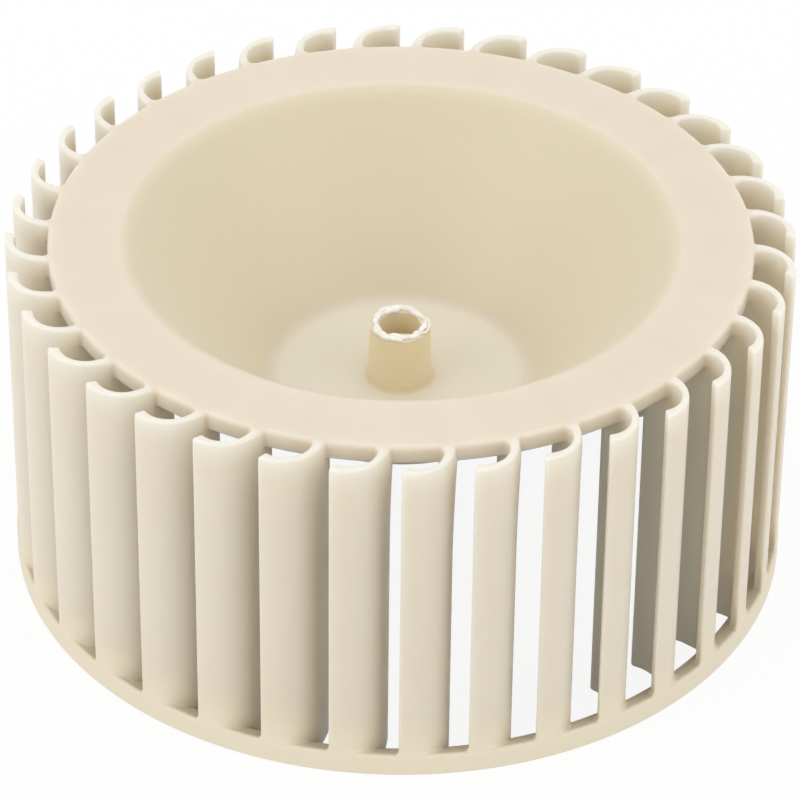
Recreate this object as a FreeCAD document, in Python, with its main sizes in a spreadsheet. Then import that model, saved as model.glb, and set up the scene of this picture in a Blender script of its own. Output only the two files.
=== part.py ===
"""Forward-curved blower wheel, moulded in one piece, in millimetres.

The wheel stands on its ring with its drive plate on top. The axis is +Z and the
origin is the middle of the ring's bottom face. The drive plate is an annulus with
a conical dish that carries the hub. Thirty-six hooked blades hang from the plate's
rim and reach down into the ring at the air inlet.
"""
import FreeCAD, Part
import os
import Sketcher

# Driving dimensions, each written once
SIZES = [
    ("wheel_diameter", 152.4, "over the ring, a nominal 6 inch wheel"),
    ("wheel_height", 71.3, "from the ring's bottom face to the plate's top face"),
    ("tip_inset", 0.2, "how far the blade tips stand inside the ring's outer face"),
    ("plate_setback", 8.1, "from the blade tips in to the plate's rim"),
    ("plate_thickness", 3.6, "of the flat annulus, seen as the wall of its rim"),
    ("dish_mouth_diameter", 106.2, "where the cone meets the annulus, before rounding"),
    ("dish_floor_diameter", 51.6, "where the cone meets the floor, before rounding"),
    ("dish_depth", 33.2, "from the annulus down to the floor"),
    ("dish_wall", 2.5, "of the cone, measured square to it"),
    ("floor_thickness", 2.6, "of the dish's floor"),
    ("mouth_fillet", 5.2, "front rounding of the dish's mouth"),
    ("floor_fillet", 3.0, "front rounding between cone and floor"),
    ("bore_diameter", 7.94, "for a 5/16 inch motor shaft"),
    ("bore_flat", 0.8, "how deep the D flat stands into the bore"),
    ("hub_wall", 2.03, "round the bore, at the hub's top"),
    ("hub_height", 12.0, "above the dish's floor"),
    ("hub_draft", 1.0, "degrees, the hub widens towards the floor"),
    ("blade_count", 36, "evenly spaced"),
    ("first_blade_angle", 1.3, "degrees from +X"),
    ("leg_offset", 8.2, "of the leg's back face from the blade's radial line"),
    ("leg_thickness", 1.9, "of the whole leg"),
    ("leg_setback", 9.6, "radial, from the tips in to where the leg starts to curl back"),
    ("leg_curl", 7.4, "radius of the leg's curl on the blade's concave side"),
    ("leg_turn", 32.5, "degrees that the leg's inner end curls back"),
    ("back_bend", 8.3, "radius of the bend on the blade's convex side"),
    ("front_bend", 5.1, "radius of the bend on the blade's concave side"),
    ("hook_angle", 11.5, "degrees the convex side curls past the radial line"),
    ("tip_thickness", 2.3, "length of the blunt tip face"),
    ("tip_slant", 28.3, "degrees between the tip face and the radial line"),
    ("ring_height", 5.0, "of the ring's outer face"),
    ("ring_wall", 4.1, "radial, at the ring's bottom"),
    ("ring_slope", 1.7, "how much lower the ring's top is on the inside"),
]

doc = FreeCAD.newDocument("blower_wheel")
sheet = doc.addObject("Spreadsheet::Sheet", "sizes")
for row, (alias, value, meaning) in enumerate(SIZES, start=1):
    sheet.set("A%d" % row, alias)
    sheet.set("B%d" % row, str(value))
    sheet.setAlias("B%d" % row, alias)
    sheet.set("C%d" % row, meaning)
doc.recompute()

# Radii and heights that several features share, written as sheet expressions
TIP = "(sizes.wheel_diameter / 2 - sizes.tip_inset)"
RIM = "(%s - sizes.plate_setback)" % TIP
TOP = "sizes.wheel_height"
FLOOR = "(sizes.wheel_height - sizes.dish_depth)"
BORE = "(sizes.bore_diameter / 2)"
HUB = "(%s + sizes.hub_wall)" % BORE
CONE_RUN = "((sizes.dish_mouth_diameter - sizes.dish_floor_diameter) / 2)"
CONE_SLOPE = "(sizes.dish_depth / %s)" % CONE_RUN
WALL_SHIFT = "(sizes.dish_wall * sqrt(1 + 1 / %s ^ 2))" % CONE_SLOPE

START, END, CENTRE = range(1, 4)
ORIGIN = (-1, START)

# Two radii or heights closer than this, in millimetres, are the same
SAME = 0.01


def value(expression):
    """The number that a sheet expression gives."""
    result = sheet.evalExpression(expression.replace("sizes.", ""))
    return float(getattr(result, "Value", result))


def point(x, y):
    return FreeCAD.Vector(x, y, 0)


def new_sketch(body, name, role, turn=None):
    """A sketch on one of the body's origin planes, turned about its normal if asked."""
    plane = [f for f in body.Origin.OriginFeatures if f.Role == role][0]
    sketch = body.newObject("Sketcher::SketchObject", name)
    sketch.AttachmentSupport = [(plane, "")]
    sketch.MapMode = "FlatFace"
    if turn:
        sketch.setExpression("AttachmentOffset.Rotation.Angle", turn)
    return sketch


def bind(sketch, kind, where, expression):
    """Add a dimension to the sketch and tie it to the sheet."""
    index = sketch.addConstraint(Sketcher.Constraint(kind, *where, value(expression)))
    sketch.setExpression("Constraints[%d]" % index, expression)


def profile(sketch, corners):
    """A closed outline of straight lines whose corners are (x, y) expressions."""
    spots = [point(value(x), value(y)) for x, y in corners]
    for begin, end in zip(spots, spots[1:] + spots[:1]):
        sketch.addGeometry(Part.LineSegment(begin, end), False)
    count = len(spots)
    for line in range(count):
        following = (line + 1) % count
        sketch.addConstraint(Sketcher.Constraint("Coincident", line, END, following, START))
    for line, (x, y) in enumerate(corners):
        bind(sketch, "DistanceX", ORIGIN + (line, START), x)
        bind(sketch, "DistanceY", ORIGIN + (line, START), y)


def revolve(body, sketch, name):
    feature = body.newObject("PartDesign::Revolution", name)
    feature.Profile = sketch
    feature.ReferenceAxis = (sketch, ["V_Axis"])
    feature.Angle = 360.0
    sketch.Visibility = False
    doc.recompute()
    return feature


def circles_at(shape, radius, height):
    """Names of the shape's round edges about the axis with this radius and height."""
    names = []
    for number, edge in enumerate(shape.Edges, start=1):
        curve = edge.Curve
        if isinstance(curve, Part.Circle) and abs(curve.Radius - radius) < SAME:
            if abs(curve.Center.z - height) < SAME:
                names.append("Edge%d" % number)
    return names


def round_edges(body, base, name, places, radius):
    """Round the edges at (radius, height) expressions with one fillet feature."""
    fillet = body.newObject("PartDesign::Fillet", name)
    edges = []
    for edge_radius, height in places:
        edges += circles_at(base.Shape, value(edge_radius), value(height))
    fillet.Base = (base, edges)
    fillet.setExpression("Radius", radius)
    doc.recompute()
    return fillet


def make_plate(body):
    """Annulus, conical dish, floor and hub as one turned section."""
    hub_base = "(%s + sizes.hub_height * tan(sizes.hub_draft))" % HUB
    hub_top = "(%s + sizes.hub_height)" % FLOOR
    mouth = "(sizes.dish_mouth_diameter / 2)"
    floor = "(sizes.dish_floor_diameter / 2)"
    plate_under = "(%s - sizes.plate_thickness)" % TOP
    floor_under = "(%s - sizes.floor_thickness)" % FLOOR
    back_mouth = "(%s + %s - sizes.plate_thickness / %s)" % (mouth, WALL_SHIFT, CONE_SLOPE)
    back_floor = "(%s + %s - sizes.floor_thickness / %s)" % (floor, WALL_SHIFT, CONE_SLOPE)

    section = new_sketch(body, "plate_section", "XZ_Plane")
    profile(section, [
        ("0", floor_under), ("0", hub_top), (HUB, hub_top), (hub_base, FLOOR),
        (floor, FLOOR), (mouth, TOP), (RIM, TOP), (RIM, plate_under),
        (back_mouth, plate_under), (back_floor, floor_under),
    ])
    plate = revolve(body, section, "plate")
    plate = round_edges(body, plate, "mouth_front", [(mouth, TOP)], "sizes.mouth_fillet")
    return round_edges(body, plate, "floor_front", [(floor, FLOOR)], "sizes.floor_fillet")


def cut_bore(body):
    """D-shaped shaft bore right through the hub and floor, its flat towards -Y."""
    section = new_sketch(body, "bore_section", "XY_Plane")
    radius = value(BORE)
    flat = radius - value("sizes.bore_flat")
    half = (radius ** 2 - flat ** 2) ** 0.5
    left = point(-half, -flat)
    right = point(half, -flat)
    arc = section.addGeometry(Part.Arc(right, point(0, radius), left), False)
    line = section.addGeometry(Part.LineSegment(left, right), False)
    section.addConstraint([
        Sketcher.Constraint("Coincident", arc, CENTRE, *ORIGIN),
        Sketcher.Constraint("Coincident", arc, END, line, START),
        Sketcher.Constraint("Coincident", line, END, arc, START),
        Sketcher.Constraint("Horizontal", line),
    ])
    bind(section, "Radius", (arc,), BORE)
    bind(section, "DistanceY", (line, START) + ORIGIN, "(%s - sizes.bore_flat)" % BORE)
    bore = body.newObject("PartDesign::Pocket", "shaft_bore")
    bore.Profile = section
    bore.Type = "ThroughAll"
    bore.Reversed = True
    section.Visibility = False
    doc.recompute()
    return bore


def make_blades(body):
    """One hooked blade, padded over the whole height and repeated round the axis.

    In the sketch, x runs outwards along the blade's radial line. The leg curls
    round from its square inner end and runs straight out from under the plate's
    rim. Two bends of different radius turn it towards the tip, and a slanted blunt
    face ends it on the tip circle.
    """
    section = new_sketch(body, "blade_section", "XY_Plane", "sizes.first_blade_angle")
    sin_hook = "sin(sizes.hook_angle)"
    back_y = value("sizes.leg_offset")
    front_y = back_y - value("sizes.leg_thickness")
    back_centre_y = back_y - value("sizes.back_bend")
    outer_y = back_centre_y - value("sizes.back_bend * %s" % sin_hook)
    outer = point((value(TIP) ** 2 - outer_y ** 2) ** 0.5, outer_y)
    back_centre_x = outer.x - value("sizes.back_bend * cos(sizes.hook_angle)")
    inner = outer + point(-value("sizes.tip_thickness * cos(sizes.tip_slant)"),
                          value("sizes.tip_thickness * sin(sizes.tip_slant)"))
    front_centre_y = front_y - value("sizes.front_bend")
    rise = inner.y - front_centre_y
    front_centre_x = inner.x - (value("sizes.front_bend") ** 2 - rise ** 2) ** 0.5
    curl_x = value("%s - sizes.leg_setback" % TIP)
    curl_y = front_y - value("sizes.leg_curl")
    turn = value("sizes.leg_turn")
    inward = FreeCAD.Rotation(FreeCAD.Vector(0, 0, 1), turn).multVec(point(0, 1))

    def bend(centre_x, centre_y, radius, start, end):
        """Circular bend from start to end, counter-clockwise, with its middle found."""
        middle = ((start - point(centre_x, centre_y)) + (end - point(centre_x, centre_y)))
        middle.normalize()
        return Part.Arc(start, point(centre_x, centre_y) + middle * radius, end)

    front_turn = point(front_centre_x, front_y)
    back_turn = point(back_centre_x, back_y)
    curl_front_start = point(curl_x, front_y)
    curl_back_start = point(curl_x, back_y)
    end_front = point(curl_x, curl_y) + inward * value("sizes.leg_curl")
    end_back = end_front + inward * value("sizes.leg_thickness")

    front = section.addGeometry(
        bend(front_centre_x, front_centre_y, value("sizes.front_bend"), inner, front_turn), False)
    leg_front = section.addGeometry(Part.LineSegment(front_turn, curl_front_start), False)
    curl_front = section.addGeometry(
        bend(curl_x, curl_y, value("sizes.leg_curl"), curl_front_start, end_front), False)
    leg_end = section.addGeometry(Part.LineSegment(end_front, end_back), False)
    curl_back = section.addGeometry(
        bend(curl_x, curl_y, value("sizes.leg_curl + sizes.leg_thickness"), curl_back_start, end_back), False)
    leg_back = section.addGeometry(Part.LineSegment(curl_back_start, back_turn), False)
    back = section.addGeometry(
        bend(back_centre_x, back_centre_y, value("sizes.back_bend"), outer, back_turn), False)
    tip = section.addGeometry(Part.LineSegment(outer, inner), False)

    section.addConstraint([
        Sketcher.Constraint("Tangent", front, END, leg_front, START),
        Sketcher.Constraint("Tangent", leg_front, END, curl_front, START),
        Sketcher.Constraint("Coincident", curl_front, END, leg_end, START),
        Sketcher.Constraint("Coincident", leg_end, END, curl_back, END),
        Sketcher.Constraint("Tangent", curl_back, START, leg_back, START),
        Sketcher.Constraint("Coincident", curl_front, CENTRE, curl_back, CENTRE),
        Sketcher.Constraint("Tangent", leg_back, END, back, END),
        Sketcher.Constraint("Coincident", back, START, tip, START),
        Sketcher.Constraint("Coincident", tip, END, front, START),
        Sketcher.Constraint("Horizontal", leg_front),
        Sketcher.Constraint("Horizontal", leg_back),
    ])
    bind(section, "DistanceY", ORIGIN + (leg_back, START), "sizes.leg_offset")
    bind(section, "DistanceY", (leg_front, END, leg_back, START), "sizes.leg_thickness")
    bind(section, "DistanceX", ORIGIN + (leg_back, START), "%s - sizes.leg_setback" % TIP)
    bind(section, "Radius", (curl_front,), "sizes.leg_curl")
    bind(section, "DistanceX", (curl_front, END, curl_front, START), "sizes.leg_curl * sin(sizes.leg_turn)")
    bind(section, "DistanceX", (curl_back, END, curl_back, START),
         "(sizes.leg_curl + sizes.leg_thickness) * sin(sizes.leg_turn)")
    bind(section, "Radius", (back,), "sizes.back_bend")
    bind(section, "Radius", (front,), "sizes.front_bend")
    bind(section, "Distance", ORIGIN + (back, START), TIP)
    bind(section, "DistanceY", (back, START, back, CENTRE), "sizes.back_bend * %s" % sin_hook)
    bind(section, "DistanceX", (front, START, back, START),
         "sizes.tip_thickness * cos(sizes.tip_slant)")
    bind(section, "DistanceY", (back, START, front, START),
         "sizes.tip_thickness * sin(sizes.tip_slant)")

    blade = body.newObject("PartDesign::Pad", "blade")
    blade.Profile = section
    blade.setExpression("Length", TOP)
    section.Visibility = False
    doc.recompute()

    blades = body.newObject("PartDesign::PolarPattern", "blades")
    blades.Originals = [blade]
    axis = [f for f in body.Origin.OriginFeatures if f.Role == "Z_Axis"][0]
    blades.Axis = (axis, [""])
    blades.Angle = 360.0
    blades.setExpression("Occurrences", "sizes.blade_count")
    body.Tip = blades
    doc.recompute()
    return blades


def make_ring(body):
    """Band round the blades' lower ends, its top face sloping down inwards."""
    outside = "(sizes.wheel_diameter / 2)"
    inside = "(sizes.wheel_diameter / 2 - sizes.ring_wall)"
    section = new_sketch(body, "ring_section", "XZ_Plane")
    profile(section, [
        (inside, "0"), (outside, "0"), (outside, "sizes.ring_height"),
        (inside, "sizes.ring_height - sizes.ring_slope"),
    ])
    return revolve(body, section, "ring")


wheel = doc.addObject("PartDesign::Body", "blower_wheel")
wheel.Label = "blower_wheel"
wheel.Placement = FreeCAD.Placement()

make_plate(wheel)
cut_bore(wheel)
make_blades(wheel)
wheel.Tip = make_ring(wheel)
doc.recompute()

for item in doc.Objects:
    if "Invalid" in item.State or "Error" in item.State:
        raise RuntimeError("%s failed: %s" % (item.Name, item.State))

os.makedirs("parts", exist_ok=True)
for part in [wheel]:
    shape = part.Shape
    if shape.isNull() or not shape.isValid():
        raise RuntimeError("%s has no valid shape" % part.Label)
    box = shape.BoundBox
    print("%s: %d solid, %.2f cm3, box %.2f x %.2f x %.2f mm"
          % (part.Label, len(shape.Solids), shape.Volume / 1000, box.XLength, box.YLength, box.ZLength))
    shape.exportStep("parts/%s.step" % part.Label)
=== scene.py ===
# %% [markdown]
# # A moulded blower wheel
#
# The object is a centrifugal blower wheel, injection-moulded in one piece from cream ABS. This
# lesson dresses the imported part. The part has the true sizes but crisp corners, and a moulding has
# none: every edge is slightly round, and every wall runs into its neighbour over a small fillet.
# At a step away those soft edges are most of what the eye reads as plastic, so the wheel is made
# again as one finer surface with its roundings in the mesh.

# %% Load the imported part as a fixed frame
import math

import bmesh
import bpy
import numpy as np
from mathutils import Matrix, Vector


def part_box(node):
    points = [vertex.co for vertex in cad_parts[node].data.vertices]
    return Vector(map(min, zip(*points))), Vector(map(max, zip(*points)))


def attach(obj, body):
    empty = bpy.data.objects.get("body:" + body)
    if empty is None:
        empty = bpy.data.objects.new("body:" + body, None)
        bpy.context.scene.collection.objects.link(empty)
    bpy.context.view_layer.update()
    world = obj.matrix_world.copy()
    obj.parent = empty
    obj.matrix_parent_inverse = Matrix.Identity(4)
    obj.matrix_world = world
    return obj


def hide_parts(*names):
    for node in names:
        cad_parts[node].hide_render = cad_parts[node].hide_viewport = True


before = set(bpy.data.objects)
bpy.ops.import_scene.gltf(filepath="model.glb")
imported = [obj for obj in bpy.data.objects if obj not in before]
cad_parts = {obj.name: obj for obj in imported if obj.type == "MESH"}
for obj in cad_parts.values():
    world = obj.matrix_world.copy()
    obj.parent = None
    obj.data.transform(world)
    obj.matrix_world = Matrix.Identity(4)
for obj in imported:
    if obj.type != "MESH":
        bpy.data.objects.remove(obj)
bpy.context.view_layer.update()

MM = 0.001
NODE = "blower_wheel"
node_low, node_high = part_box(NODE)
print("part box in mm:", [round(v / MM, 2) for v in (*node_low, *node_high)])

# %% [markdown]
# ## Sizes
#
# The outer radius and the height come from the frame. Everything else is a real size in
# millimetres, the same as in the part: the rim stands a fixed distance inside the blade tips, and
# the dish hangs from the top. Heights are counted up from the ring's bottom face.

# %% Name the wheel's sizes
WHEEL_RADIUS = node_high[0] / MM
TOP = node_high[2] / MM
BLADES = 36
PITCH = 360.0 / BLADES
FIRST_BLADE = 1.3
TIP_RADIUS = WHEEL_RADIUS - 0.2
RIM_RADIUS = TIP_RADIUS - 8.1
UNDER = TOP - 3.6
DISH_MOUTH = 53.1
DISH_FLOOR = 25.8
FLOOR = TOP - 33.2
FLOOR_UNDER = FLOOR - 2.6
DISH_WALL = 2.5
HUB_RADIUS = 6.0
HUB_TOP = FLOOR + 12.0
BORE_RADIUS = 3.97
BORE_FLAT = BORE_RADIUS - 0.8
RING_INNER = WHEEL_RADIUS - 4.1
RING_TOP = 5.0
RING_SLOPE = 1.7
LEG_FOOT = 0.1

# %% [markdown]
# ## Outlines with their normals
#
# A blade's section is made of straight lines and circular bends that meet smoothly. Each tool below
# gives one stretch as a table with a row for every point: its place, its outward normal, and four
# edge sizes that the rounding needs later. Keeping exact normals makes it easy to move an outline in
# or out by any distance, and that is all that rounding an edge is.

# %% Make stretches of an outline
X, Y, NX, NY, INSET, DROP, FLARE, LIP = range(8)
SAME_POINT = 0.05


def stretch(points, normals, *sizes):
    """Put points, normals and edge sizes side by side; a pair runs evenly from end to end."""
    runs = [np.linspace(*np.broadcast_to(size, 2), len(points)) for size in sizes]
    return np.column_stack([points, normals, *runs])


def line(start, end, count, inset=0.4, drop=0.4, flare=0, lip=0):
    """Points start + t * (end - start) for even steps of t; the normal is on the right hand."""
    t = np.linspace(0, 1, count)[:, None]
    start, end = np.asarray(start, float), np.asarray(end, float)
    along = (end - start) / np.linalg.norm(end - start)
    normals = np.repeat([[along[1], -along[0]]], count, 0)
    return stretch(start + t * (end - start), normals, inset, drop, flare, lip)


def bend(centre, radius, first, last, count, inset=0.4, drop=0.4, flare=0, lip=0):
    """Points centre + radius * (cos a, sin a) for a from first to last degrees.

    Counter-clockwise the plastic is inside the circle, so the normal is (cos a, sin a);
    clockwise it is outside the circle, and the normal turns round.
    """
    a = np.radians(np.linspace(first, last, count))
    ray = np.stack([np.cos(a), np.sin(a)], -1)
    side = math.copysign(1, last - first)
    return stretch(np.asarray(centre) + radius * ray, side * ray, inset, drop, flare, lip)


def join(*stretches):
    """Put stretches end to end and leave out a point that lies on the one before it."""
    table = np.concatenate(stretches)
    step = np.linalg.norm(np.diff(table[:, :2], axis=0), axis=1)
    return table[np.concatenate([[True], step > SAME_POINT])]


def degrees_of(vector):
    """The direction of a plane vector, from 0 to 360 degrees."""
    return math.degrees(math.atan2(vector[1], vector[0])) % 360


def on_line_at(start, direction, centre, reach):
    """The last point start + s * direction that lies at the distance reach from centre."""
    gap = start - centre
    half = gap @ direction
    return start + (math.sqrt(half ** 2 - gap @ gap + reach ** 2) - half) * direction


# %% [markdown]
# ## The blade's hook
#
# Seen from above, each blade is a hook. Its leg curls a little under the plate, runs straight out
# from under the rim, and two bends of different radius, one on each side, turn it towards the tip.
# A slanted blunt face ends it. The tip's two corners are rounded by circles that touch both
# neighbours. In the blade's own axes x runs outwards and y runs counter-clockwise.

# %% Work out the hook's bends
LEG_BACK = 8.2
LEG_FRONT = LEG_BACK - 1.9
LEG_CURL = 7.4
LEG_TURN = 32.5
BACK_BEND = 8.3
FRONT_BEND = 5.1
HOOK = math.radians(11.5)
TIP_FACE = 2.3
TIP_SLANT = 28.3
INNER_CORNER = 0.35
OUTER_CORNER = 0.4

back_y = LEG_BACK - BACK_BEND
tip_y = back_y - BACK_BEND * math.sin(HOOK)
outer_tip = np.array([math.sqrt(TIP_RADIUS ** 2 - tip_y ** 2), tip_y])
back_centre = np.array([outer_tip[0] - BACK_BEND * math.cos(HOOK), back_y])
tip_along = np.array([math.cos(math.radians(TIP_SLANT)), -math.sin(math.radians(TIP_SLANT))])
tip_inward = np.array([-tip_along[1], tip_along[0]])
inner_tip = outer_tip - TIP_FACE * tip_along
front_y = LEG_FRONT - FRONT_BEND
front_centre = np.array([inner_tip[0] - math.sqrt(FRONT_BEND ** 2 - (inner_tip[1] - front_y) ** 2),
                         front_y])
inner_round = on_line_at(inner_tip + INNER_CORNER * tip_inward, tip_along,
                         front_centre, FRONT_BEND + INNER_CORNER)
outer_round = on_line_at(inner_tip + OUTER_CORNER * tip_inward, tip_along,
                         back_centre, BACK_BEND - OUTER_CORNER)
print("bend centres, mm:", front_centre.round(2), back_centre.round(2))

# %% [markdown]
# ## Where the blade meets the rim
#
# Between the plate's rim and each blade the mould has small upright fillets. Each is a circle that
# touches the rim's circle from outside: the front one touches the leg's side, and the back one
# touches the back bend, which is still turning where it reaches the rim. At plate level the outline
# of one thirty-sixth of a turn is then: rim, fillet, hook, fillet, rim. Along the back bend the tip's
# edge sizes end at 24 degrees, and the swelling behind the leg begins at 60.

# %% Draw the plate's outline round one blade
FRONT_FILLET = 1.2
BACK_FILLET = 1.0
RIM_EDGE = dict(inset=0.8, drop=0.8)
HOLLOW_EDGE = dict(inset=0.4, drop=0.45)
INNER_EDGE = dict(inset=0.25, drop=0.4)
TIP_EDGE = dict(inset=0.3, drop=0.8)
ROUND_EDGE = dict(inset=0.5, drop=0.55)
TIP_EDGE_ENDS = 24
FLARE_BEGINS = 60


def meeting_point(reach, centre, other_reach):
    """The point at reach from the axis and at other_reach from centre, on centre's left hand."""
    apart = np.linalg.norm(centre)
    along = (apart ** 2 + reach ** 2 - other_reach ** 2) / (2 * apart)
    forward = centre / apart
    return along * forward + math.sqrt(reach ** 2 - along ** 2) * np.array([-forward[1], forward[0]])


front_level = LEG_FRONT - FRONT_FILLET
front_fillet = np.array([math.sqrt((RIM_RADIUS + FRONT_FILLET) ** 2 - front_level ** 2), front_level])
back_fillet = meeting_point(RIM_RADIUS + BACK_FILLET, back_centre, BACK_BEND + BACK_FILLET)
back_turn = degrees_of(back_fillet - back_centre)
front_join = np.array([front_fillet[0], LEG_FRONT])
back_join = back_centre + BACK_BEND * (back_fillet - back_centre) / (BACK_BEND + BACK_FILLET)
print("back bend meets the fillet at", round(back_turn, 1), "degrees")
SEAM = degrees_of([RIM_RADIUS, (LEG_FRONT + LEG_BACK) / 2]) + PITCH / 2
tip_normal = 270 - TIP_SLANT
front_end = degrees_of(inner_round - front_centre) - 360
back_start = degrees_of(outer_round - back_centre)

rim_before = join(
    bend([0, 0], RIM_RADIUS, SEAM - PITCH, degrees_of(front_fillet), 6, **RIM_EDGE),
    bend(front_fillet, FRONT_FILLET, degrees_of(-front_fillet), 90, 6, **RIM_EDGE),
)
hook = join(
    line(front_join, [front_centre[0], LEG_FRONT], 2, **HOLLOW_EDGE),
    bend(front_centre, FRONT_BEND, 90, front_end, 11, **HOLLOW_EDGE),
    bend(inner_round, INNER_CORNER, degrees_of(front_centre - inner_round), tip_normal, 4,
         **INNER_EDGE),
    bend(outer_round, OUTER_CORNER, tip_normal, back_start + 360 * (back_start < 180), 5, **TIP_EDGE),
    bend(back_centre, BACK_BEND, back_start - 360 * (back_start > 180), TIP_EDGE_ENDS, 5,
         inset=(TIP_EDGE["inset"], ROUND_EDGE["inset"]), drop=(TIP_EDGE["drop"], ROUND_EDGE["drop"])),
    bend(back_centre, BACK_BEND, TIP_EDGE_ENDS, FLARE_BEGINS, 5, **ROUND_EDGE),
    bend(back_centre, BACK_BEND, FLARE_BEGINS, back_turn, 5, flare=(0, 1), **ROUND_EDGE),
)
rim_after = join(
    bend(back_fillet, BACK_FILLET, back_turn - 180, degrees_of(-back_fillet) - 360, 6, flare=(1, 0),
         **RIM_EDGE),
    bend([0, 0], RIM_RADIUS, degrees_of(back_fillet), SEAM, 4, **RIM_EDGE),
)
outline = join(rim_before, hook, rim_after)
hook_first = int(np.argmin(np.linalg.norm(outline[:, :2] - front_join, axis=1)))
hook_last = int(np.argmin(np.linalg.norm(outline[:, :2] - back_join, axis=1)))
print("points round the plate for one blade:", len(outline), "hook from", hook_first, "to", hook_last)

# %% [markdown]
# The edge sizes jump where one stretch ends, and a rounding can't jump. Averaging each column with
# its neighbours a few times makes the sizes run smoothly from one stretch into the next. The
# outline repeats from blade to blade, so its last point has its first point as a neighbour.

# %% Let the edge sizes run smoothly round the outline
def soften(table, columns, times):
    """Replace each value by (before + 2 * itself + after) / 4, a few times, round the loop."""
    for _ in range(times):
        values = table[:, columns]
        table[:, columns] = (np.roll(values, 1, 0) + 2 * values + np.roll(values, -1, 0)) / 4


soften(outline, [INSET, DROP], 2)

# %% [markdown]
# ## The blade below the plate
#
# Under the plate the rim ends and the leg shows. It reaches further in than the rim, curls round one
# centre, and its inner end is a half circle. Its upper end runs into the plate's underside over a
# fillet, and the lip size is how far that fillet reaches outwards. The rim itself has none.

# %% Draw the blade's section
LEG_LIP = 0.8
CURL_INSET = 9.6
NOSE = (LEG_BACK - LEG_FRONT) / 2
curl_centre = np.array([TIP_RADIUS - CURL_INSET, LEG_FRONT - LEG_CURL])
nose_turn = 90 + LEG_TURN - math.degrees(NOSE / (LEG_CURL + NOSE))
nose_centre = curl_centre + (LEG_CURL + NOSE) * np.array([math.cos(math.radians(nose_turn)),
                                                          math.sin(math.radians(nose_turn))])

leg = join(
    bend(back_centre, BACK_BEND, back_turn, 90, 2, flare=1),
    line([back_centre[0], LEG_BACK], [curl_centre[0], LEG_BACK], 4, flare=1),
    bend(curl_centre, LEG_CURL + 2 * NOSE, 90, nose_turn, 6, flare=(1, 0), lip=(0, LEG_LIP)),
    bend(nose_centre, NOSE, nose_turn, nose_turn + 180, 9, lip=LEG_LIP),
    bend(curl_centre, LEG_CURL, nose_turn, 90, 6, lip=(LEG_LIP, 0)),
    line([curl_centre[0], LEG_FRONT], front_join, 4),
)
hook_part = outline[hook_first:hook_last + 1]
blade = np.concatenate([hook_part, leg[1:-1]])
print("points round one blade:", len(blade))

# %% [markdown]
# ## A skin made of grids and flat faces
#
# The wheel's surface is mostly grids: the same outline repeated at many heights, or the same profile
# at many angles. The flat areas between them are single faces with many corners. The small class
# below collects both. A grid gives back the numbers of its points, so that a flat face can name
# them, and one call turns the whole collection into a mesh.


# %% Collect grids and faces
class Skin:
    """Points in millimetres and the faces between them."""

    def __init__(self):
        self.points = np.zeros((0, 3))
        self.faces = []

    def grid(self, places, closed=False):
        """Add rows x columns of points with a quad between each four; closed joins the last column
        to the first. Returns the points' numbers as rows x columns."""
        rows, columns = places.shape[:2]
        numbers = len(self.points) + np.arange(rows * columns).reshape(rows, columns)
        self.points = np.concatenate([self.points, places.reshape(-1, 3)])
        ends = np.concatenate([numbers, numbers[:, :1]], 1) if closed else numbers
        quads = np.stack([ends[:-1, :-1], ends[:-1, 1:], ends[1:, 1:], ends[1:, :-1]], -1)
        self.faces += quads.reshape(-1, 4).tolist()
        return numbers

    def row(self, places):
        """Add points that only flat faces use."""
        return self.grid(places[None])[0]

    def turned_copies(self, count, first):
        """The same skin at count even turns about Z: point numbers go up by one skin each turn."""
        turns = np.radians(first + 360.0 / count * np.arange(count))
        c, s = np.cos(turns)[:, None], np.sin(turns)[:, None]
        x, y, z = self.points.T
        whole = Skin()
        whole.points = np.stack([c * x - s * y, s * x + c * y, np.broadcast_to(z, (count, len(z)))],
                                -1).reshape(-1, 3)
        whole.faces = [[corner + k * len(x) for corner in face]
                       for k in range(count) for face in self.faces]
        return whole

    def add(self, other):
        """Take over another skin's points and faces."""
        start = len(self.points)
        self.points = np.concatenate([self.points, other.points])
        self.faces += [[corner + start for corner in face] for face in other.faces]

    def mesh(self, name, weld=0.002):
        """Make the Blender mesh in metres: points closer than weld become one, faces turn outwards,
        and only true corners stay sharp."""
        mesh = bpy.data.meshes.new(name)
        mesh.from_pydata(self.points * MM, [], self.faces)
        bm = bmesh.new()
        bm.from_mesh(mesh)
        bmesh.ops.remove_doubles(bm, verts=bm.verts, dist=weld * MM)
        bmesh.ops.recalc_face_normals(bm, faces=bm.faces)
        open_edges = sum(1 for edge in bm.edges if len(edge.link_faces) != 2)
        bm.to_mesh(mesh)
        bm.free()
        mesh.shade_smooth()
        mesh.set_sharp_from_angle(angle=math.radians(50))
        print(name, "points", len(mesh.vertices), "faces", len(mesh.polygons), "open edges", open_edges)
        return mesh


def at_height(table, outwards, height):
    """Outline points moved along their normals by outwards, at a height: rows of x, y, z."""
    moved = table[:, [X, Y]] + np.asarray(outwards)[..., None] * table[:, [NX, NY]]
    return np.column_stack([moved, np.broadcast_to(height, len(table))])


# %% [markdown]
# ## The plate's edge
#
# A rounded edge is a quarter of an ellipse from the wall to the top face. At the angle a it has
# moved in by inset * (1 - cos a) and stands drop * (1 - sin a) below the top. The wall under it
# swells slightly behind each leg, where the mould has draft and a fillet, and most at the plate's
# underside. Below the plate that swelling dies out over 20 mm.

# %% Stack the outline's rows from the top down
TOP_TURNS = np.radians([90, 62, 32, 0])
WALL_DEPTHS = [1.4, 2.3]
FLARE_SIZE = 0.5
FLARE_DEPTH = 20.0


def smooth_step(value, start, end):
    """0 before start, 1 after end, and 3 t^2 - 2 t^3 between."""
    t = np.clip((value - start) / (end - start), 0, 1)
    return t * t * (3 - 2 * t)


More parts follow.
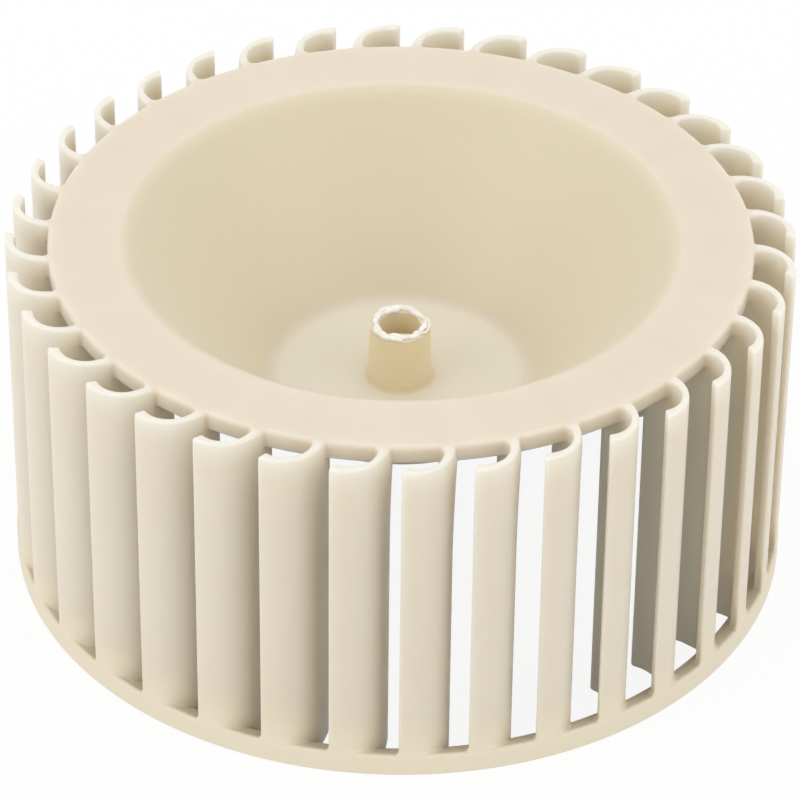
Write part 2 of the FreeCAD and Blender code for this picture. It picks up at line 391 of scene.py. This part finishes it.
def flare_at(depth):
    """Swelling at a depth below the top, as a share: rises to 1 at the underside, then dies out."""
    up = smooth_step(depth, 0, TOP - UNDER)
    down = np.clip(1 - (depth - TOP + UNDER) / FLARE_DEPTH, 0, 1)
    return up * down ** 1.5


def plate_rows(table):
    """Rows of points for the plate's edge and wall, from the top face to the underside."""
    rows = []
    for turn in TOP_TURNS:
        depth = table[:, DROP] * (1 - math.sin(turn))
        outwards = FLARE_SIZE * table[:, FLARE] * flare_at(depth) - table[:, INSET] * (1 - math.cos(turn))
        rows.append(at_height(table, outwards, TOP - depth))
    for depth in WALL_DEPTHS + [TOP - UNDER]:
        rows.append(at_height(table, FLARE_SIZE * table[:, FLARE] * flare_at(depth), TOP - depth))
    return np.array(rows)


# %% [markdown]
# ## The blade from the plate down into the ring
#
# The blade is the section carried straight down. It starts under the plate with the fillet, and it
# ends in the ring, where a last small fillet spreads onto the ring's sloping top. That fillet only
# exists where the ring does, so it is faded in over the ring's inner edge, and it stays a hair inside
# the ring's outer wall. Inside the ring the blade just carries on, out of sight, and its free inner
# part ends a little above the foot.

# %% Stack the blade's rows
ROOT_DEPTHS = [0.0, 0.07, 0.25, 0.5, 0.8]
FLARE_DEPTHS = [2.2, 4.5, 8.0, 12.0, 16.0, 20.0]
PLAIN_HEIGHTS = [34.0, 20.0]
SKIRT = 1.0
SKIRT_HEIGHTS = [1.0, 0.6, 0.3, 0.1, -0.02]
SKIRT_LEAST = 0.02
SKIRT_FADE = 0.9
SKIRT_MARGIN = 0.12
RING_EDGE_OUTER = 0.6
END_EDGE = 0.3


def quarter(depth, radius):
    """A fillet's reach at a depth below the surface that it grows from: radius - chord."""
    left = np.clip(radius - depth, 0, radius)
    return radius - np.sqrt(radius ** 2 - left ** 2)


def ring_height(radius):
    """The height of the ring's top at a radius, with the rounding of its outer edge."""
    slope = RING_SLOPE / (WHEEL_RADIUS - RING_INNER)
    edge = np.clip(radius - (WHEEL_RADIUS - RING_EDGE_OUTER), 0, RING_EDGE_OUTER)
    fall = RING_EDGE_OUTER - np.sqrt(RING_EDGE_OUTER ** 2 - edge ** 2)
    return RING_TOP - slope * (WHEEL_RADIUS - np.clip(radius, RING_INNER, WHEEL_RADIUS)) - fall


def blade_rows(table):
    """Rows of points for the blade's wall, from the plate's underside to its lower end."""
    rows = []
    flare = FLARE_SIZE * table[:, FLARE]
    for depth in ROOT_DEPTHS + FLARE_DEPTHS:
        root = table[:, LIP] / LEG_LIP * quarter(depth, LEG_LIP)
        rows.append(at_height(table, root + flare * flare_at(depth + TOP - UNDER), UNDER - depth))
    for height in PLAIN_HEIGHTS:
        rows.append(at_height(table, np.zeros(len(table)), height))
    radius = np.hypot(table[:, X], table[:, Y])
    on_ring = smooth_step(radius, RING_INNER, RING_INNER + SKIRT_FADE)
    for height in SKIRT_HEIGHTS:
        place = at_height(table, on_ring * quarter(max(height, SKIRT_LEAST), SKIRT), 0)
        reach = np.hypot(place[:, 0], place[:, 1])
        place[:, :2] *= (np.minimum(reach, WHEEL_RADIUS - SKIRT_MARGIN) / reach)[:, None]
        place[:, 2] = ring_height(np.hypot(place[:, 0], place[:, 1])) + height
        rows.append(place)
    for turn in np.radians([0, 45, 90]):
        height = LEG_FOOT + END_EDGE * (1 - math.sin(turn))
        rows.append(at_height(table, np.full(len(table), -END_EDGE * (1 - math.cos(turn))), height))
    return np.array(rows)


# %% [markdown]
# ## One sector of the plate with its blade
#
# The plate's wall and the blade's wall are two grids. The top face is one flat face between the
# outline and the circle where the dish begins, and the underside is another, which goes round the
# leg. One more flat face closes the blade's lower end.

# %% Build the sector and repeat it
STEPS = 8
MOUTH_ROUND = 5.2
cone_fall = math.atan2(TOP - FLOOR, DISH_MOUTH - DISH_FLOOR)
cone_shift = DISH_WALL / math.sin(cone_fall)
under_mouth = DISH_MOUTH + cone_shift - (TOP - UNDER) / math.tan(cone_fall)
top_circle = DISH_MOUTH + MOUTH_ROUND * math.tan(cone_fall / 2)
under_circle = under_mouth + (MOUTH_ROUND - DISH_WALL) * math.tan(cone_fall / 2)
print("underside of the cone meets the plate at r =", round(under_mouth, 2), "mm")


def circle_arc(radius, height):
    """The sector's share of a circle, from seam to seam."""
    a = np.radians(np.linspace(SEAM - PITCH, SEAM, STEPS + 1))
    return np.column_stack([radius * np.cos(a), radius * np.sin(a), np.full(STEPS + 1, height)])


sector = Skin()
plate = sector.grid(plate_rows(outline))
wall = sector.grid(blade_rows(blade), closed=True)
top_arc = sector.row(circle_arc(top_circle, TOP))
under_arc = sector.row(circle_arc(under_circle, UNDER))
sector.faces.append([*plate[0], *top_arc[::-1]])

hook_count = len(hook_part)
leg_top = wall[0, hook_count:]
sector.faces.append([*plate[-1, :hook_first + 1], *leg_top[::-1], *plate[-1, hook_last:],
                     *under_arc[::-1]])
sector.faces.append(wall[-1].tolist())
wheel = sector.turned_copies(BLADES, FIRST_BLADE)
print("faces in one sector:", len(sector.faces))

# %% [markdown]
# ## Dish, hub and ring
#
# These are turned shapes: a profile in radius and height, carried round the axis. The profile is
# drawn as sharp corners with a radius for each, and one function puts the arcs in. The dish's
# profile runs from the plate's top face down the cone, over the floor, up the hub, down through the
# bore and back out along the underside. The bore is D-shaped, so its circle is cut by a flat on the
# side towards the viewer, and so are the roundings at its two ends.

# %% Round a profile's corners and carry it round the axis
BORE_ROUND = 0.3
FLAT_REACH = BORE_ROUND + 0.05


def rounded_path(corners, radii, count=6):
    """Replace each inner corner by an arc that touches both its sides.

    Where the sides turn by the angle t, the arc starts r * tan(t / 2) before the corner, and its
    point at the angle a is start + r * (sin a) * side + r * (1 - cos a) * normal.
    """
    corners = np.asarray(corners, float)
    pieces = [corners[:1]]
    for before, corner, after, radius in zip(corners, corners[1:], corners[2:], radii):
        side, leave = corner - before, after - corner
        side, leave = side / np.linalg.norm(side), leave / np.linalg.norm(leave)
        turn = math.acos(np.clip(side @ leave, -1, 1))
        hand = math.copysign(1, side[0] * leave[1] - side[1] * leave[0])
        normal = hand * np.array([-side[1], side[0]])
        a = np.linspace(0, turn, count)[:, None]
        start = corner - radius * math.tan(turn / 2) * side
        pieces.append(start + radius * np.sin(a) * side + radius * (1 - np.cos(a)) * normal)
    return np.concatenate([*pieces, corners[-1:]])


def carry_round(profile):
    """Points (r cos a, r sin a, z) for every profile point and every step of the turn."""
    a = np.radians(FIRST_BLADE + SEAM + np.arange(BLADES * STEPS) * PITCH / STEPS)
    radius = np.repeat(profile[:, :1], len(a), 1)
    towards_flat = np.clip(np.cos(a + math.pi / 2), 0.05, 1)
    flat = (BORE_FLAT + radius - BORE_RADIUS) / towards_flat
    radius = np.where(radius < BORE_RADIUS + FLAT_REACH, np.minimum(radius, flat), radius)
    height = np.broadcast_to(profile[:, 1:], radius.shape)
    return np.stack([radius * np.cos(a), radius * np.sin(a), height], -1)


# %% Draw the dish and the hub
HUB_DRAFT = math.tan(math.radians(1.0))
FLOOR_ROUND = 3.0
HUB_FOOT_ROUND = 0.8
HUB_TOP_ROUND = 0.4
hub_foot = HUB_RADIUS + (HUB_TOP - FLOOR) * HUB_DRAFT
under_floor = under_mouth - (UNDER - FLOOR_UNDER) / math.tan(cone_fall)
dish_corners = [
    (top_circle, TOP), (DISH_MOUTH, TOP), (DISH_FLOOR, FLOOR), (hub_foot, FLOOR),
    (HUB_RADIUS, HUB_TOP), (BORE_RADIUS, HUB_TOP), (BORE_RADIUS, FLOOR_UNDER),
    (under_floor, FLOOR_UNDER), (under_mouth, UNDER), (under_circle, UNDER),
]
dish_radii = [MOUTH_ROUND, FLOOR_ROUND, HUB_FOOT_ROUND, HUB_TOP_ROUND, BORE_ROUND, BORE_ROUND,
              FLOOR_ROUND + DISH_WALL, MOUTH_ROUND - DISH_WALL]
dish = rounded_path(dish_corners, dish_radii)
step = np.linalg.norm(np.diff(dish, axis=0), axis=1)
dish = dish[np.concatenate([[True], step > 0.001])]
wheel.grid(carry_round(dish), closed=True)
print("points along the dish's profile:", len(dish))

# %% Draw the ring
RING_EDGE_INNER = 0.4
RING_FOOT = 0.4
middle = (RING_INNER + WHEEL_RADIUS) / 2
ring_corners = [
    (middle, 0), (WHEEL_RADIUS, 0), (WHEEL_RADIUS, RING_TOP), (RING_INNER, RING_TOP - RING_SLOPE),
    (RING_INNER, 0), (middle, 0),
]
ring_profile = rounded_path(ring_corners, [RING_FOOT, RING_EDGE_OUTER, RING_EDGE_INNER, RING_FOOT])
wheel.grid(carry_round(ring_profile), closed=True)
print("points along the ring's profile:", len(ring_profile))

# %% [markdown]
# ## Cream ABS, injection-moulded
#
# ABS is slightly yellow by itself, and this wheel has only that ivory tint. It scatters light
# under its surface, which softens the shading at thin walls. That depth is faded out towards the
# ring, where the blades' hidden ends lie inside the mesh and would show through as grey, and is
# smaller in the middle of the dish. Three faint irregularities keep it from looking computed: cloudy
# tone, flow marks that spread from the hub, and a few pale scuffs, whose places are free. A satin
# mould's own grain is a tenth of a millimetre or less, which is finer than a pixel here, so it is
# drawn at 0.7 mm to show at all.
#
# The dish's cone, its floor, the hub, and the blades' tops, legs and feet each get a slightly
# different cream, and these tones are painted light and shade: the cone is darker as painted shade,
# the floor, the blade tops and the legs are lighter as painted light, and the hub and the feet are a
# warmer painted shade. On the real wheel such tones come from shade and from light passing through
# the plastic. Here they are mixed in by radius and height and tuned against the photograph. The
# legs' tone is the palest, because the lamps reach them less than they do in the photograph.


# %% Colour and node helpers
def linear(hex_colour):
    """sRGB hex to linear light: c / 12.92 below 0.04045, else ((c + 0.055) / 1.055) ^ 2.4."""
    c = np.array([int(hex_colour[i:i + 2], 16) / 255 for i in (1, 3, 5)])
    light = np.where(c <= 0.04045, c / 12.92, ((c + 0.055) / 1.055) ** 2.4)
    return (*light.tolist(), 1.0)


def node(tree, kind, inputs=None, **settings):
    """Add a node: settings are its properties, inputs maps a socket to a value or a link."""
    new = tree.nodes.new(kind)
    for key, value in settings.items():
        setattr(new, key, value)
    for key, value in (inputs or {}).items():
        if isinstance(value, bpy.types.NodeSocket):
            tree.links.new(value, new.inputs[key])
        else:
            new.inputs[key].default_value = value
    return new


def per_metre(size_in_mm):
    """A texture's Scale for a pattern whose features are this far apart."""
    return 1 / (size_in_mm * MM)


def fade(start, end):
    """Range values for 0 at start and 1 at end, both in millimetres; start may be the larger one."""
    low, high = sorted((start, end))
    return {"From Min": low * MM, "From Max": high * MM,
            "To Min": float(start > end), "To Max": float(end > start)}


def new_material(name):
    """An empty node material with its output node."""
    material = bpy.data.materials.new(name)
    material.use_nodes = True
    material.node_tree.nodes.clear()
    return material, material.node_tree, node(material.node_tree, "ShaderNodeOutputMaterial")


# %% Mix the cream plastic
CREAM = "#E4D9C9"
CREAM_DEEP = "#E1D6C3"
# painted shade: the dish's cone is drawn darker, as the shade inside the bowl looks
CONE_PAINTED_SHADE = "#DDD3BB"
# painted light: the dish's floor, facing up, is drawn lighter than the cone
DISH_FLOOR_PAINTED_LIGHT = "#E6E0CF"
# painted shade: the hub is drawn in a warmer, yellower cream, as the shade on it looks
HUB_PAINTED_WARM_SHADE = "#E8DBBC"
# painted light: the blades' upper parts outside the rim are drawn paler and greyer
TIPS_PAINTED_LIGHT = "#E6DFD1"
# painted light: the legs under the plate are drawn palest, in place of light the lamps don't bring
LEGS_PAINTED_LIGHT = "#EEE9DB"
# painted shade: the blades' feet and the ring are drawn in a warmer cream, as the shade in the corners
# there looks
FOOT_PAINTED_WARM_SHADE = "#E5DAC2"
SCUFF = "#F4EEE2"
CLOUD_SIZE = 38
FLOW_LENGTH = 60
FLOWS_PER_RADIAN = 9.0
SCUFF_SPACING = 22
SHINE_SIZE = 6
GRAIN_SIZE = 0.7
ABS_IOR = 1.54


def cream_abs():
    """Moulded cream ABS: low even shine, soft depth, painted light and shade by zone, flow marks and pale
    scuffs.
    """
    material, tree, output = new_material("cream_abs_moulded")
    place = node(tree, "ShaderNodeTexCoord").outputs["Object"]

    cloud = node(tree, "ShaderNodeTexNoise", {"Vector": place, "Scale": per_metre(CLOUD_SIZE),
                                              "Detail": 2.0})
    axes = node(tree, "ShaderNodeSeparateXYZ", {"Vector": place})
    angle = node(tree, "ShaderNodeMath", {0: axes.outputs["Y"], 1: axes.outputs["X"]},
                 operation="ARCTAN2")
    flat_place = node(tree, "ShaderNodeCombineXYZ", {"X": axes.outputs["X"], "Y": axes.outputs["Y"]})
    radius = node(tree, "ShaderNodeVectorMath", {0: flat_place.outputs[0]}, operation="LENGTH")
    spread = node(tree, "ShaderNodeCombineXYZ", {"X": angle.outputs[0],
                                                 "Y": radius.outputs["Value"]})
    stretched = node(tree, "ShaderNodeVectorMath", {
        0: spread.outputs[0], 1: (FLOWS_PER_RADIAN, per_metre(FLOW_LENGTH), 1)}, operation="MULTIPLY")
    flow = node(tree, "ShaderNodeTexNoise", {"Vector": stretched.outputs[0], "Scale": 1.0,
                                             "Detail": 3.0})
    tone = node(tree, "ShaderNodeMath", {0: cloud.outputs["Fac"], 1: flow.outputs["Fac"]},
                operation="MULTIPLY")
    share = node(tree, "ShaderNodeMapRange", {"Value": tone.outputs[0], "From Min": 0.12,
                                              "From Max": 0.42})
    cream = node(tree, "ShaderNodeMix", {"Factor": share.outputs[0], "A": linear(CREAM_DEEP),
                                         "B": linear(CREAM)}, data_type="RGBA")

    # Each zone paints light or shade into the colour; its share is the product of its fades, along the
    # radius or the height.
    out, up = radius.outputs["Value"], axes.outputs["Z"]
    zones = [
        (CONE_PAINTED_SHADE, [(out, DISH_FLOOR - 1, DISH_FLOOR + 2), (out, DISH_MOUTH + 1, DISH_MOUTH)]),
        (DISH_FLOOR_PAINTED_LIGHT, [(out, DISH_FLOOR, DISH_FLOOR - 3)]),
        (HUB_PAINTED_WARM_SHADE, [(out, HUB_RADIUS + 1.6, HUB_RADIUS + 0.6)]),
        (FOOT_PAINTED_WARM_SHADE, [(up, RING_TOP + 11, RING_TOP)]),
        (LEGS_PAINTED_LIGHT, [(out, 56, 60), (out, 71.5, 68), (up, UNDER, UNDER - 6)]),
        (TIPS_PAINTED_LIGHT, [(out, RIM_RADIUS - 0.3, RIM_RADIUS + 1), (up, TOP - 6, TOP)]),
    ]
    for colour, fades in zones:
        steps = [node(tree, "ShaderNodeMapRange", {"Value": measure, **fade(begin, end)},
                      interpolation_type="SMOOTHSTEP").outputs[0] for measure, begin, end in fades]
        zone = steps[0]
        for step in steps[1:]:
            zone = node(tree, "ShaderNodeMath", {0: zone, 1: step}, operation="MULTIPLY").outputs[0]
        cream = node(tree, "ShaderNodeMix", {"Factor": zone, "A": cream.outputs["Result"],
                                             "B": linear(colour)}, data_type="RGBA")

    cells = node(tree, "ShaderNodeTexVoronoi", {"Vector": place, "Scale": per_metre(SCUFF_SPACING)})
    dot = node(tree, "ShaderNodeMapRange", {"Value": cells.outputs["Distance"], "From Min": 0.012,
                                            "From Max": 0.032, "To Min": 0.5, "To Max": 0.0})
    plastic = node(tree, "ShaderNodeMix", {"Factor": dot.outputs[0], "A": cream.outputs["Result"],
                                           "B": linear(SCUFF)}, data_type="RGBA")

    shine = node(tree, "ShaderNodeTexNoise", {"Vector": place, "Scale": per_metre(SHINE_SIZE),
                                              "Detail": 4.0})
    rough = node(tree, "ShaderNodeMapRange", {"Value": shine.outputs["Fac"], "To Min": 0.40,
                                              "To Max": 0.54})
    grain = node(tree, "ShaderNodeTexNoise", {"Vector": place, "Scale": per_metre(GRAIN_SIZE),
                                              "Detail": 3.0})
    fine = node(tree, "ShaderNodeBump", {"Height": grain.outputs["Fac"], "Strength": 0.12,
                                         "Distance": 0.05 * MM})
    ripple = node(tree, "ShaderNodeBump", {"Height": cloud.outputs["Fac"], "Strength": 0.5,
                                           "Distance": 0.4 * MM, "Normal": fine.outputs["Normal"]})

    # How deep the light goes: less towards the ring and in the middle of the dish.
    depth = node(tree, "ShaderNodeMapRange", {
        "Value": up, "From Min": RING_TOP * MM, "From Max": (RING_TOP + 8) * MM,
        "To Min": 0.2 * MM, "To Max": 4.0 * MM})
    outside = node(tree, "ShaderNodeMapRange", {"Value": out, **fade(26, 42)},
                   interpolation_type="SMOOTHSTEP")
    thick = node(tree, "ShaderNodeMapRange", {"Value": outside.outputs[0], "To Min": 0.65,
                                              "To Max": 1.0})
    depth = node(tree, "ShaderNodeMath", {0: depth.outputs[0], 1: thick.outputs[0]},
                 operation="MULTIPLY")
    above_ring = node(tree, "ShaderNodeMapRange", {"Value": up, **fade(RING_TOP + 0.5, RING_TOP + 7)},
                      interpolation_type="SMOOTHSTEP")
    shader = node(tree, "ShaderNodeBsdfPrincipled", {
        "Base Color": plastic.outputs["Result"], "Roughness": rough.outputs[0], "IOR": ABS_IOR,
        "Normal": ripple.outputs["Normal"], "Subsurface Weight": above_ring.outputs[0],
        "Subsurface Radius": (1.0, 0.94, 0.82), "Subsurface Scale": depth.outputs[0]})
    tree.links.new(shader.outputs["BSDF"], output.inputs["Surface"])
    print("nodes in the cream plastic:", len(tree.nodes))
    return material


# %% [markdown]
# ## One object in place of the crisp part
#
# Every piece rides with the part's only body. The wheel's mesh also replaces the part's own. Its
# large flat faces meet narrow roundings, and plain smooth shading would tilt the flats. Normals
# weighted by face area keep them flat.

# %% Put the wheel in the scene
def piece(name, mesh, material):
    """Put a mesh in the scene as a piece that rides with the part."""
    obj = bpy.data.objects.new(name, mesh)
    bpy.context.scene.collection.objects.link(obj)
    obj.data.materials.append(material)
    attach(obj, "root")
    return obj


body = piece("moulded_wheel", wheel.mesh("moulded_wheel"), cream_abs())
even = body.modifiers.new("even_normals", "WEIGHTED_NORMAL")
even.mode = "FACE_AREA"
even.weight = 50
even.keep_sharp = True
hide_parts(NODE)

# %% [markdown]
# ## Flash at the bore's mouth
#
# The pin that forms the bore left a crinkled lip and a few torn strands of thin plastic on the hub.
# Plastic that has been stretched or torn turns white, so they have a paler finish of their own. Each
# strand is a closed tube whose path runs smoothly through a handful of points. Those of the right
# loop and the front strand were read roughly off the photograph. The lip's waves and the back strand
# are made up, because the photograph shows only an uneven white band there. The lip is a ring 4.85 mm
# from the axis, in waves of a tenth of a millimetre, and thin where its two ends meet.

# %% Lay the torn strands round the mouth
def through(points, steps=8):
    """A smooth curve through the points: a cubic between each two, with the neighbours' slope."""
    p = np.asarray(points, float)
    p = np.concatenate([2 * p[:1] - p[1:2], p, 2 * p[-1:] - p[-2:-1]])
    t = (np.arange(steps) / steps)[:, None]
    spans = [(2 * b + (c - a) * t + (2 * a - 5 * b + 4 * c - d) * t ** 2
              + (3 * b - a - 3 * c + d) * t ** 3) / 2 for a, b, c, d in zip(p, p[1:], p[2:], p[3:])]
    return np.concatenate([*spans, p[-2:-1]])


def strand(skin, table, sides=8):
    """Add a closed tube round a path of rows x, y, height above the hub, half thickness."""
    path = table[:, :3] + [0, 0, HUB_TOP]
    along = np.gradient(path, axis=0)
    side = np.cross(along, [0, 0, 1])
    side /= np.linalg.norm(side, axis=1)[:, None]
    up = np.cross(side, along)
    up /= np.linalg.norm(up, axis=1)[:, None]
    a = np.linspace(0, 2 * math.pi, sides, endpoint=False)[None, :, None]
    tube = path[:, None] + table[:, 3, None, None] * (np.cos(a) * side[:, None] + np.sin(a) * up[:, None])
    numbers = skin.grid(tube, closed=True)
    skin.faces += [numbers[0].tolist(), numbers[-1].tolist()]


turn = np.linspace(0.3, 0.3 + 2 * math.pi, 90)
reach = 4.85 + 0.12 * np.sin(5 * turn + 0.8) + 0.1 * np.sin(17 * turn)
lift = 0.02 + 0.12 * np.sin(4 * turn + 2) + 0.1 * np.sin(13 * turn)
half = (0.66 + 0.12 * np.sin(7 * turn + 1)) * np.clip(np.sin((turn - 0.3) / 2) * 6 + 0.15, 0, 1)
flash = Skin()
strand(flash, np.column_stack([reach * np.cos(turn), reach * np.sin(turn), lift, half]))
strand(flash, through([(4.0, 1.8, 0.3, 0.06), (5.3, 1.1, 0.3, 0.3), (5.65, -0.9, 0.15, 0.3),
                       (5.1, -2.8, 0.15, 0.3), (3.6, -3.8, 0.2, 0.06)]))
strand(flash, through([(-5.2, -0.8, 0.0, 0.06), (-4.6, -3.0, 0.15, 0.5), (-3.0, -4.6, 0.2, 0.62),
                       (-0.6, -5.4, 0.0, 0.45), (1.2, -5.7, -0.35, 0.06)]))
strand(flash, through([(-5.2, 1.2, 0.1, 0.06), (-3.5, 4.0, 0.3, 0.5), (-0.2, 5.1, 0.25, 0.55),
                       (2.6, 4.4, 0.35, 0.4), (4.2, 2.6, 0.2, 0.06)]))


def stretched_white():
    """Stress-whitened ABS: the same plastic, paler in uneven streaks."""
    material, tree, output = new_material("abs_stress_whitened")
    place = node(tree, "ShaderNodeTexCoord").outputs["Object"]
    streak = node(tree, "ShaderNodeTexNoise", {"Vector": place, "Scale": per_metre(1.2), "Detail": 3.0})
    share = node(tree, "ShaderNodeMapRange", {"Value": streak.outputs["Fac"], "From Min": 0.35,
                                              "From Max": 0.6})
    pale = node(tree, "ShaderNodeMix", {"Factor": share.outputs[0], "A": linear("#EFE6D8"),
                                        "B": linear("#FDFBF8")}, data_type="RGBA")
    bumps = node(tree, "ShaderNodeBump", {"Height": streak.outputs["Fac"], "Strength": 0.6,
                                          "Distance": 0.15 * MM})
    shader = node(tree, "ShaderNodeBsdfPrincipled", {
        "Base Color": pale.outputs["Result"], "Roughness": 0.4, "IOR": ABS_IOR,
        "Normal": bumps.outputs["Normal"]})
    tree.links.new(shader.outputs["BSDF"], output.inputs["Surface"])
    return material


piece("bore_mouth_flash", flash.mesh("bore_mouth_flash"), stretched_white())

# %% [markdown]
# ## Floor, light and camera
#
# The wheel stands on a plain white floor under soft light from all sides. The floor's white comes
# mostly from a glow of its own for the camera and reflections, so the lamps can stay at a level
# where the plastic renders in its own colour, and only a faint shadow is left.
#
# Only the lamps and the room light the wheel. The photograph doesn't show what lit it there. In the
# photograph the inner blade faces are nearly as bright as the outer ones, and here they come out
# darker.

# %% Lay the floor
FLOOR_GLOW_SHARE = 0.9


def white_floor():
    """Matt white board that is nearly white to the camera and keeps a faint shadow."""
    material, tree, output = new_material("white_board_matt")
    path = node(tree, "ShaderNodeLightPath")
    seen = node(tree, "ShaderNodeMath", {0: path.outputs["Is Camera Ray"],
                                         1: path.outputs["Is Glossy Ray"]}, operation="MAXIMUM")
    seen = node(tree, "ShaderNodeMath", {0: seen.outputs[0],
                                         1: path.outputs["Is Transmission Ray"]}, operation="MAXIMUM")
    glow = node(tree, "ShaderNodeEmission", {"Color": (1, 1, 1, 1), "Strength": 1.0})
    board = node(tree, "ShaderNodeBsdfDiffuse", {"Color": linear("#F7F7F7")})
    share = node(tree, "ShaderNodeMapRange", {"Value": seen.outputs[0],
                                              "To Max": FLOOR_GLOW_SHARE})
    both = node(tree, "ShaderNodeMixShader", {0: share.outputs[0], 1: board.outputs[0],
                                              2: glow.outputs[0]})
    tree.links.new(both.outputs[0], output.inputs["Surface"])
    return material


FLOOR_HALF = 3.0
FLOOR_DROP = 0.05 * MM
corners = FLOOR_HALF * np.array([[-1, -1, 0], [1, -1, 0], [1, 1, 0], [-1, 1, 0]]) - [0, 0, FLOOR_DROP]
floor_mesh = bpy.data.meshes.new("floor")
floor_mesh.from_pydata(corners, [], [[0, 1, 2, 3]])
floor = bpy.data.objects.new("floor", floor_mesh)
bpy.context.scene.collection.objects.link(floor)
floor_mesh.materials.append(white_floor())
print("floor lies", FLOOR_DROP / MM, "mm under the ring")


# %% Light it softly from all sides
def lamp(name, place, size, power):
    """A square white soft box that faces the wheel's middle; metres and watts."""
    data = bpy.data.lights.new(name, "AREA")
    data.size = size
    data.energy = power
    obj = bpy.data.objects.new(name, data)
    obj.location = place
    aim = Vector((0, 0, TOP * MM / 2)) - Vector(place)
    obj.rotation_euler = aim.to_track_quat("-Z", "Y").to_euler()
    bpy.context.scene.collection.objects.link(obj)


lamp("overhead_box", (0.0, 0.25, 1.2), 1.0, 1.3)
lamp("left_box", (-0.9, -0.5, 0.7), 0.7, 2.4)
lamp("right_box", (0.9, -0.5, 0.7), 0.7, 1.7)

ROOM_LIGHT = 0.87
world = bpy.data.worlds.new("soft_room")
world.use_nodes = True
bpy.context.scene.world = world
world_tree = world.node_tree
world_tree.nodes.clear()
path = node(world_tree, "ShaderNodeLightPath")
level = node(world_tree, "ShaderNodeMapRange", {"Value": path.outputs["Is Camera Ray"],
                                                "To Min": ROOM_LIGHT, "To Max": 1.0})
sky = node(world_tree, "ShaderNodeBackground", {"Color": (1, 1, 1, 1), "Strength": level.outputs[0]})
out = node(world_tree, "ShaderNodeOutputWorld")
world_tree.links.new(sky.outputs[0], out.inputs["Surface"])

# %% [markdown]
# The camera looks down at the wheel through a long lens, so near and far blades are almost the same
# size. Its place, its downward pitch and its slight roll are what make the wheel's ellipses fall on
# the photograph's.

# %% Place the camera
CAMERA_PLACE = (-4.59, -751.4, 587.23)
CAMERA_PITCH = math.radians(36.481)
CAMERA_YAW = math.radians(-0.362)
CAMERA_ROLL = math.radians(0.661)
LENS = 213.24

camera_data = bpy.data.cameras.new("camera")
camera_data.lens = LENS
camera_data.sensor_width = 36.0
camera = bpy.data.objects.new("camera", camera_data)
bpy.context.scene.collection.objects.link(camera)
camera.matrix_world = (Matrix.Translation(Vector(CAMERA_PLACE) * MM)
                       @ Matrix.Rotation(CAMERA_YAW, 4, "Z")
                       @ Matrix.Rotation(math.pi / 2 - CAMERA_PITCH, 4, "X")
                       @ Matrix.Rotation(CAMERA_ROLL, 4, "Z"))
bpy.context.scene.camera = camera
bpy.context.scene.view_settings.view_transform = "Standard"
print("camera stands", round(Vector(CAMERA_PLACE).length), "mm from the ring's middle")
